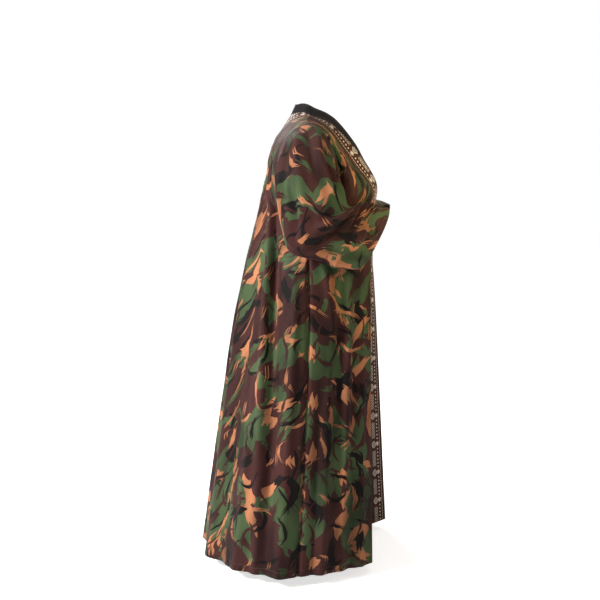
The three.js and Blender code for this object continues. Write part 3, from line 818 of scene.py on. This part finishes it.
def hem_group():
    """A turned hem: a stitched groove at a distance from the edge, as a height, and its thread."""
    inputs = [("Hem Place", "Vector", None), ("Distance", "Float", 0.02), ("Stitch", "Float", 0.0035)]
    tree, g, i, o = group("stitched_hem", inputs, [("Height", "Float"), ("Thread", "Float")])
    spot = g.split(i["Hem Place"])
    away = g.math("ABSOLUTE", g.math("SUBTRACT", spot[1], i["Distance"]))
    groove = g.mask(away, HEM_GROOVE, 0.0)
    dash = g.math("PINGPONG", g.math("DIVIDE", spot[0], i["Stitch"]), 0.5)
    thread = g.mask(away, HEM_THREAD, HEM_THREAD / 2)
    thread = g.math("MULTIPLY", thread, g.mask(dash, *STITCH_ENDS))
    pucker = g.noise(g.vector("MULTIPLY", i["Hem Place"], PUCKER_SIZE), 1, 1)["Fac"]
    near = g.mask(away, HEM_PUCKER, 0.0)
    soft = g.math("MULTIPLY", g.math("SUBTRACT", pucker, 0.5), near)
    sunk = g.math("SUBTRACT", groove, g.math("MULTIPLY", thread, THREAD_RISE))
    g.plug(o["Height"], g.math("SUBTRACT", g.math("MULTIPLY", soft, PUCKER_RISE), sunk))
    g.plug(o["Thread"], thread)
    return tree


BRUSH = brush_group()
PATCH = patch_group()
WEAVE = weave_group()
HEM = hem_group()

# Colours of the camouflage, its reverse and the hem's thread, then those of the band and the collar
BROWN = (0.042, 0.0135, 0.012, 1)
GREEN = (0.046, 0.072, 0.031, 1)
BLACK = (0.006, 0.004, 0.004, 1)
TAN = (0.36, 0.145, 0.068, 1)
REVERSE = (0.17, 0.14, 0.11, 1)
THREAD = (0.07, 0.05, 0.035, 1)
INK = (0.022, 0.008, 0.006, 1)
FADED_INK = (0.075, 0.025, 0.014, 1)
WHITE = (0.66, 0.6, 0.55, 1)
COLLAR = (0.005, 0.004, 0.005, 1)
FADED_COLLAR = (0.011, 0.01, 0.012, 1)

# Layers of the camouflage, from the ground up: the colour, the cell, the mark's half length and half
# width, its bend, angle and spread, how many are kept, how jagged the ends are, and the layer's shift
# A tan layer just below a green one lies a little to one side of it, so that its edge shows.
CAMOUFLAGE_MARKS = [
    (TAN, 0.18, 0.105, 0.04, 1.1, 1.35, 1.7, 0.8, 1.15, (0.337, 0.198, 0)),
    (GREEN, 0.18, 0.115, 0.043, 1.1, 1.35, 1.7, 0.86, 0.9, (0.31, 0.17, 0)),
    (TAN, 0.14, 0.05, 0.021, 1.3, 1.1, 2.0, 0.45, 1.0, (2.135, 1.948, 0)),
    (GREEN, 0.14, 0.064, 0.024, 1.3, 1.1, 2.0, 0.45, 1.0, (2.11, 1.93, 0)),
    (BROWN, 0.13, 0.075, 0.018, 1.5, 1.3, 1.6, 0.8, 1.1, (1.37, 0.61, 0)),
    (BLACK, 0.14, 0.082, 0.0155, 1.8, 1.2, 1.9, 0.82, 1.0, (3.43, 0.29, 0)),
    (TAN, 0.13, 0.042, 0.016, 1.0, 1.6, 2.2, 0.6, 1.1, (0.83, 2.57, 0)),
    (GREEN, 0.12, 0.055, 0.009, 1.4, 1.2, 1.6, 0.5, 1.1, (7.19, 2.17, 0)),
    (BLACK, 0.1, 0.06, 0.006, 1.8, 1.1, 2.2, 0.7, 0.9, (4.19, 3.07, 0)),
    (BROWN, 0.11, 0.062, 0.0062, 1.7, 1.15, 1.7, 0.8, 1.2, (8.31, 0.77, 0)),
    (TAN, 0.12, 0.055, 0.0065, 1.6, 1.2, 1.8, 0.55, 1.2, (9.17, 3.41, 0)),
    (TAN, 0.1, 0.028, 0.0022, 0.7, 1.3, 1.0, 0.45, 0.8, (5.23, 1.41, 0)),
    (TAN, 0.1, 0.026, 0.0022, 0.7, 1.3, 1.0, 0.45, 0.8, (5.239, 1.414, 0)),
    (BROWN, 0.09, 0.05, 0.0042, 1.3, 1.2, 1.6, 0.6, 0.9, (6.07, 4.13, 0)),
]


def cloth_place(g, layer="cloth"):
    return g.node("ShaderNodeUVMap", uv_map=layer).outputs[0]


# The cloth's finish: the reverse's paleness, the shade of the slubs, and the strength of each relief
REVERSE_SHARE = 0.55
SLUB_SHADE = (0.5, 0.75)
WEAVE_STRENGTH = 0.35
HEM_STRENGTH = 0.8
HEM_HEIGHT = 0.0008
WEAR = 0.16
SHEEN_ROUGHNESS = 0.55
CLOTH_SPECULAR = 0.09


def bump(g, height, strength, distance, normal=None):
    node = g.node("ShaderNodeBump")
    node.inputs["Strength"].default_value = strength
    node.inputs["Distance"].default_value = distance
    g.plug(node.inputs["Height"], height)
    if normal is not None:
        g.plug(node.inputs["Normal"], normal)
    return node.outputs[0]


def finish_cloth(material, g, place, colour, rough, thread, weave_height, sheen, hem):
    """The threads, the stitched hem and the cloth's soft shine, on a given colour."""
    weave = use(g, WEAVE, Place=place, Thread=thread)
    colour = g.darken(colour, g.math("MULTIPLY_ADD", weave["Slub"], *SLUB_SHADE))
    edge = use(g, HEM, Hem_Place=cloth_place(g, "hem"), Distance=hem)
    colour = g.mix(edge["Thread"], colour, THREAD)
    normal = bump(g, weave["Height"], WEAVE_STRENGTH, weave_height)
    normal = bump(g, edge["Height"], HEM_STRENGTH, HEM_HEIGHT, normal)
    worn = g.noise(place, 9, 3)["Fac"]
    shader = material.node_tree.nodes["Principled BSDF"]
    g.plug(shader.inputs["Roughness"], g.math("MULTIPLY_ADD", worn, WEAR, rough - WEAR / 2))
    g.plug(shader.inputs["Base Color"], colour)
    g.plug(shader.inputs["Normal"], normal)
    shader.inputs["Sheen Weight"].default_value = sheen
    shader.inputs["Sheen Roughness"].default_value = SHEEN_ROUGHNESS
    shader.inputs["Specular IOR Level"].default_value = CLOTH_SPECULAR


def new_material(name):
    material = bpy.data.materials.new(name)
    material.use_nodes = True
    return material, Graph(material.node_tree)


# The large patches that lie under the marks, and the darker streaks of painted shade over them all, which
# stand in for the shading of soft folds
PATCHES = {"Scale": 7.5, "Level": 0.6, "Angle": 0.7, "Shift": (0.4, 0.9, 0.0)}
PAINTED_SHADE_SIZE = (13, 4, 1)
PAINTED_SHADE_RANGE = (0.3, 0.62)
PAINTED_SHADE_DEPTH = (0.7, 0.4)


def camouflage(name, paleness, shift):
    """The four-colour print with streaks of painted fold shade over it, or its paler reverse."""
    material, g = new_material(name)
    place = g.vector("ADD", cloth_place(g), shift)
    patches = use(g, PATCH, Place=place, **PATCHES)
    colour = g.mix(patches["Mask"], BROWN, GREEN)
    for ink, cell, length, width, bend, angle, spread, keep, fray, move in CAMOUFLAGE_MARKS:
        marks = use(
            g, BRUSH, Place=place, Cell=cell, Length=length, Width=width, Bend=bend,
            Angle=angle, Spread=spread, Keep=keep, Fray=fray, Shift=move,
        )
        colour = g.mix(marks["Mask"], colour, ink)
    # Painted shade: soft dark streaks, stretched along the cloth, darken the print in place of the shading
    # of soft folds
    painted_shade_streaks = g.noise(g.vector("MULTIPLY", place, PAINTED_SHADE_SIZE), 1, 2)["Fac"]
    shade = g.math("MULTIPLY_ADD", g.mask(painted_shade_streaks, *PAINTED_SHADE_RANGE), *PAINTED_SHADE_DEPTH)
    colour = g.darken(colour, shade)
    if paleness:
        colour = g.mix(paleness, colour, REVERSE)
    finish_cloth(
        material, g, place, colour, rough=0.6, thread=0.0006, weave_height=0.00025, sheen=0.04, hem=0.02,
    )
    return material


# Rows, repeats and strokes of the band's print, in metres from the band's outer edge
MOTIF = 0.1
PRINT_EDGE = 0.0006
PRINT_WANDER = 0.0022
PRINT_WEAR = (0.2, 0.45)
STROKE = 0.0011
DOT_ROW = 0.026
DOT_STEP = 0.0125
DOT_RADIUS = 0.0026
DOT_GAP = 0.0135
CROSS_UP = 0.0085
CROSS_WIDE = 0.0075
RAY_STROKE = 0.0014
RAY_REACH = 0.0055
LATTICE_ROW = 0.0455
LATTICE_STEP = 0.0088
LATTICE_DOT = 0.0025
LATTICE_HALF_WIDTH = 0.0085
LATTICE_HALF_LENGTH = 0.027
LEAF_HALF_WIDTH = 0.009
LEAF_CURVE = 60.0
LEAF_HALF_LENGTH = 0.0145
VEIN_STEP = 0.0058
VEIN_STROKE = 0.0008
VEIN_ROOM = (-0.0016, -0.0026)
DASH_ROW = 0.0135
DASH_STROKE = 0.0007
DASH_STEP = 0.009
DASH_HALF_LENGTH = 0.0028


def disc(g, x, y, radius):
    """A round dot at the origin of x and y."""
    away = g.math("SQRT", g.math("ADD", g.math("MULTIPLY", x, x), g.math("MULTIPLY", y, y)))
    return g.mask(away, radius + PRINT_EDGE, radius)


def bar(g, value, half):
    return g.mask(g.math("ABSOLUTE", value), half + PRINT_EDGE, half)


def box(g, first, first_half, second, second_half):
    return g.math("MULTIPLY", bar(g, first, first_half), bar(g, second, second_half))


def repeat(g, value, step):
    """The distance from the middle of the nearest repeat."""
    share = g.math("SUBTRACT", g.math("FRACT", g.math("DIVIDE", value, step)), 0.5)
    return g.math("MULTIPLY", share, step)


def any_of(g, layers):
    total = layers[0]
    for layer in layers[1:]:
        total = g.math("MAXIMUM", total, layer)
    return total


def dots_and_crosses(g, u, v, between):
    """A row of dots, with a cross of eight rays between each two stretches."""
    outer = g.math("SUBTRACT", u, DOT_ROW)
    dots = disc(g, outer, repeat(g, v, DOT_STEP), DOT_RADIUS)
    dots = g.math("MULTIPLY", dots, g.math("SUBTRACT", 1.0, bar(g, between, DOT_GAP)))
    rays = [box(g, outer, STROKE, between, CROSS_UP), box(g, between, STROKE, outer, CROSS_WIDE)]
    for operation in ("SUBTRACT", "ADD"):
        rays.append(box(g, g.math(operation, outer, between), RAY_STROKE, between, RAY_REACH))
    return [dots] + rays


def lattices_and_leaves(g, u, v, between):
    """A row of lattices, with an outlined leaf between each two."""
    inner = g.math("SUBTRACT", u, LATTICE_ROW)
    slanted = repeat(g, g.math("ADD", inner, v), LATTICE_STEP)
    counter = repeat(g, g.math("SUBTRACT", inner, v), LATTICE_STEP)
    room = box(g, inner, LATTICE_HALF_WIDTH, repeat(g, v, MOTIF), LATTICE_HALF_LENGTH)
    lattice = g.math("MULTIPLY", disc(g, slanted, counter, LATTICE_DOT), room)
    curve = g.math("MULTIPLY", g.math("MULTIPLY", between, between), LEAF_CURVE)
    leaf = g.math("SUBTRACT", g.math("ABSOLUTE", inner), g.math("SUBTRACT", LEAF_HALF_WIDTH, curve))
    outline = box(g, leaf, STROKE, between, LEAF_HALF_LENGTH)
    chevrons = repeat(g, g.math("ADD", between, g.math("ABSOLUTE", inner)), VEIN_STEP)
    veins = g.math("MULTIPLY", bar(g, chevrons, VEIN_STROKE), g.mask(leaf, *VEIN_ROOM))
    return [lattice, outline, veins]


def printed_band():
    """A dark band: dots broken by crosses, then lattices between outlined leaves."""
    material, g = new_material("band_print")
    place = g.wander(cloth_place(g), g.noise(cloth_place(g), 60, 2), PRINT_WANDER)
    spot = g.split(place)
    u, v = spot[0], spot[1]
    between = repeat(g, g.math("ADD", v, MOTIF / 2), MOTIF)
    dashes = box(g, g.math("SUBTRACT", u, DASH_ROW), DASH_STROKE, repeat(g, v, DASH_STEP), DASH_HALF_LENGTH)
    drawn = dots_and_crosses(g, u, v, between) + lattices_and_leaves(g, u, v, between) + [dashes]
    worn = g.mask(g.noise(place, 600, 2)["Fac"], *PRINT_WEAR)
    white = g.math("MULTIPLY", any_of(g, drawn), worn)
    cloudy = g.mix(g.noise(place, 30, 3)["Fac"], INK, FADED_INK)
    colour = g.mix(white, cloudy, WHITE)
    finish_cloth(
        material, g, place, colour, rough=0.6, thread=0.0007, weave_height=0.0003, sheen=0.05, hem=0.003,
    )
    return material


def collar_black():
    material, g = new_material("collar_black")
    place = cloth_place(g)
    colour = g.mix(g.noise(place, 40, 4)["Fac"], COLLAR, FADED_COLLAR)
    finish_cloth(
        material, g, place, colour, rough=0.7, thread=0.0008, weave_height=0.0004, sheen=0.05, hem=0.004,
    )
    return material


PRINT = printed_band()
BLACK_CLOTH = collar_black()


def camouflage_pair(name, shift):
    """The outside's material, then the inside's."""
    return [camouflage(name + "_print", 0, shift), camouflage(name + "_reverse", REVERSE_SHARE, shift)]


def hem_distance(grid):
    """Place along the bottom edge, and distance up from it."""
    down = arc(grid, 0)
    return np.stack((arc(grid, 1), down[-1:] - down), axis=-1)


LEVEL_GRID = np.linspace(0, HEM_LEVEL, BODY_ROWS + 1)[:, None]


def make_back():
    """Both halves of the back, from the right side seam to the left one."""
    across = 1 - np.linspace(1, 0, BACK_HALF_COLUMNS + 1)[None, :] ** CROWDING
    right = body(False, across, LEVEL_GRID, RIGHT)[:, ::-1]
    left = mirrored(body(False, across, LEVEL_GRID, LEFT), LEFT)[:, 1:]
    grid = draw_in(np.concatenate((right, left), axis=1), True, True)
    uv = np.stack((arc(grid, 1, BACK_HALF_COLUMNS), arc(grid, 0)), axis=-1)
    cloth = camouflage_pair("back", (0.0, 0.0, 0.0))
    obj = sheet_object("back_panel", grid, uv, CLOTH, cloth, hem_distance(grid))
    place_piece(obj, "back")


def make_front(side, name, shift):
    across = np.linspace(0, 1, FRONT_COLUMNS + 1)[None, :] ** CROWDING
    grid = mirrored(body(True, across, LEVEL_GRID, side), side)
    grid = draw_in(grid, True, True)
    uv = np.stack((arc(grid, 1), arc(grid, 0)), axis=-1)
    cloth = camouflage_pair("front_" + name, shift)
    hem = hem_distance(grid)
    obj = sheet_object("front_panel_" + name, grid, uv, CLOTH, cloth, hem, flip=side == RIGHT)
    place_piece(obj, "front_" + name)


def make_sleeve(side, name, shift):
    angle = np.linspace(-180, 180, SLEEVE_COLUMNS + 1)[None, :]
    section = np.linspace(0, CUFF_SECTION, SLEEVE_ROWS + 1)[:, None]
    grid = mirrored(sleeve(angle, section, side), side)
    uv = np.stack((arc(grid, 1, SLEEVE_COLUMNS // 2), arc(grid, 0)), axis=-1)
    cloth = camouflage_pair("sleeve_" + name, shift)
    hem = hem_distance(grid)
    obj = sheet_object("sleeve_cloth_" + name, grid, uv, CLOTH, cloth, hem, side == RIGHT, weld=True)
    place_piece(obj, "sleeve_" + name)


def trim_grid(side, start, end, columns, places):
    across = np.linspace(start, end, columns + 1)[None, :]
    return mirrored(trim(across, places[:, None], side), side)


def trim_hem(uv):
    """Place along the trim, and distance in from the nearer of its long edges."""
    edge = np.minimum(uv[..., 0], uv[:, -1:, 0] - uv[..., 0])
    return np.stack((uv[..., 1], edge), axis=-1)


def make_band(side, name):
    places = np.concatenate((np.linspace(-1, 0, NECK_ROWS, endpoint=False), LEVEL_GRID[:, 0]))
    grid = draw_in(trim_grid(side, 0, 1, BAND_COLUMNS, places), True, True)
    length = arc(grid, 0)[:, BAND_COLUMNS // 2][:, None]
    uv = np.stack((arc(grid, 1), length + 0 * grid[..., 0]), axis=-1)
    hem = trim_hem(uv)
    obj = sheet_object("printed_band_" + name, grid, uv, BAND_CLOTH, [PRINT], hem, flip=side == RIGHT)
    place_piece(obj, "band_" + name)


def make_collar():
    rows = int(NECK_ROWS + BODY_ROWS * COLLAR_END_LEVEL / HEM_LEVEL)
    places = np.linspace(-1, COLLAR_END_LEVEL, rows)
    right = trim_grid(RIGHT, 1, 2, COLLAR_COLUMNS, places)[::-1]
    left = trim_grid(LEFT, 1, 2, COLLAR_COLUMNS, places)[1:]
    grid = draw_in(np.concatenate((right, left)), True, False)
    uv = np.stack((arc(grid, 1), arc(grid, 0)), axis=-1)
    obj = sheet_object("black_collar", grid, uv, BAND_CLOTH, [BLACK_CLOTH], trim_hem(uv))
    place_piece(obj, "collar_band")


make_back()
make_front(RIGHT, "right", (0.9, 0.35, 0.0))
make_front(LEFT, "left", (2.3, 1.2, 0.0))
make_sleeve(RIGHT, "right", (3.4, 0.8, 0.0))
make_sleeve(LEFT, "left", (4.6, 2.1, 0.0))
make_band(RIGHT, "right")
make_band(LEFT, "left")
make_collar()


# Camera, floor and light

CAMERA_PLACE = (-3.387, -0.254, -0.148)
CAMERA_AIM = (0.0, 0.042, -0.602)
PHOTO_SIZE = 600
FOCAL_PIXELS = 1075
FLOOR_Z = -1.42
FLOOR_SIZE = 30
FLOOR_GREY = (0.88, 0.88, 0.88, 1)
FLOOR_PALE = (0.93, 0.93, 0.93, 1)
FLOOR_GLOW = 0.68
BACKDROP = 1.0
AMBIENT = 0.075
OVERHEAD_ENERGY = 0.9
OVERHEAD_ANGLE = 1.0


def make_camera():
    data = bpy.data.cameras.new("camera")
    data.sensor_width = 36
    data.lens = FOCAL_PIXELS / PHOTO_SIZE * data.sensor_width
    camera = bpy.data.objects.new("camera", data)
    camera.location = CAMERA_PLACE
    aim = Vector(CAMERA_AIM) - Vector(CAMERA_PLACE)
    camera.rotation_euler = aim.to_track_quat("-Z", "Y").to_euler()
    bpy.context.scene.collection.objects.link(camera)
    bpy.context.scene.camera = camera


def make_floor():
    bpy.ops.mesh.primitive_plane_add(size=FLOOR_SIZE, location=(0, 0, FLOOR_Z))
    floor = bpy.context.object
    floor.name = "floor"
    material, g = new_material("pale_floor")
    shader = material.node_tree.nodes["Principled BSDF"]
    grain = g.noise(g.node("ShaderNodeTexCoord").outputs["Object"], 3, 4)["Fac"]
    g.plug(shader.inputs["Base Color"], g.mix(grain, FLOOR_GREY, FLOOR_PALE))
    shader.inputs["Roughness"].default_value = 0.9
    shader.inputs["Emission Color"].default_value = (1, 1, 1, 1)
    seen = g.node("ShaderNodeLightPath").outputs["Is Camera Ray"]
    g.plug(shader.inputs["Emission Strength"], g.math("MULTIPLY", seen, FLOOR_GLOW))
    floor.data.materials.append(material)


def make_light(name, place, aim, size, power, colour, spread=180):
    data = bpy.data.lights.new(name, "AREA")
    data.shape = "RECTANGLE"
    data.size, data.size_y = size
    data.energy = power
    data.color = colour
    data.spread = math.radians(spread)
    light = bpy.data.objects.new(name, data)
    light.location = place
    light.rotation_euler = (Vector(aim) - Vector(place)).to_track_quat("-Z", "Y").to_euler()
    bpy.context.scene.collection.objects.link(light)


def make_overhead():
    """Soft light from above, for the floor."""
    data = bpy.data.lights.new("overhead", "SUN")
    data.energy = OVERHEAD_ENERGY
    data.angle = OVERHEAD_ANGLE
    bpy.context.scene.collection.objects.link(bpy.data.objects.new("overhead", data))


def make_world():
    """A pale studio: soft light all round, and a brighter backdrop."""
    world = bpy.data.worlds.new("studio")
    world.use_nodes = True
    g = Graph(world.node_tree)
    sky = world.node_tree.nodes["Background"]
    sky.inputs["Color"].default_value = (1, 1, 1, 1)
    seen = g.node("ShaderNodeLightPath").outputs["Is Camera Ray"]
    g.plug(sky.inputs["Strength"], g.math("MULTIPLY_ADD", seen, BACKDROP - AMBIENT, AMBIENT))
    bpy.context.scene.world = world
    bpy.context.scene.view_settings.view_transform = "Standard"


make_camera()
make_floor()
make_world()
make_light("key", (-2.2, 3.2, 1.5), (0, 0.1, -0.7), (0.7, 1.0), 360, (1.0, 0.97, 0.95))
make_light("warm_front", (-0.9, -3.4, 1.2), (0, -0.1, -0.5), (0.8, 1.2), 26, (1.0, 0.74, 0.45))
make_light("glow", (-0.75, -1.15, 0.25), (-0.05, -0.2, -0.3), (0.2, 0.2), 1.1, (1.0, 0.86, 0.42), 40)
make_light("fill", (2.9, 1.2, 1.1), (0, 0.1, -0.6), (1.0, 1.4), 45, (1.0, 0.98, 0.95))
make_overhead()

# Nothing stays selected
for node in bpy.context.scene.objects:
    node.select_set(False)
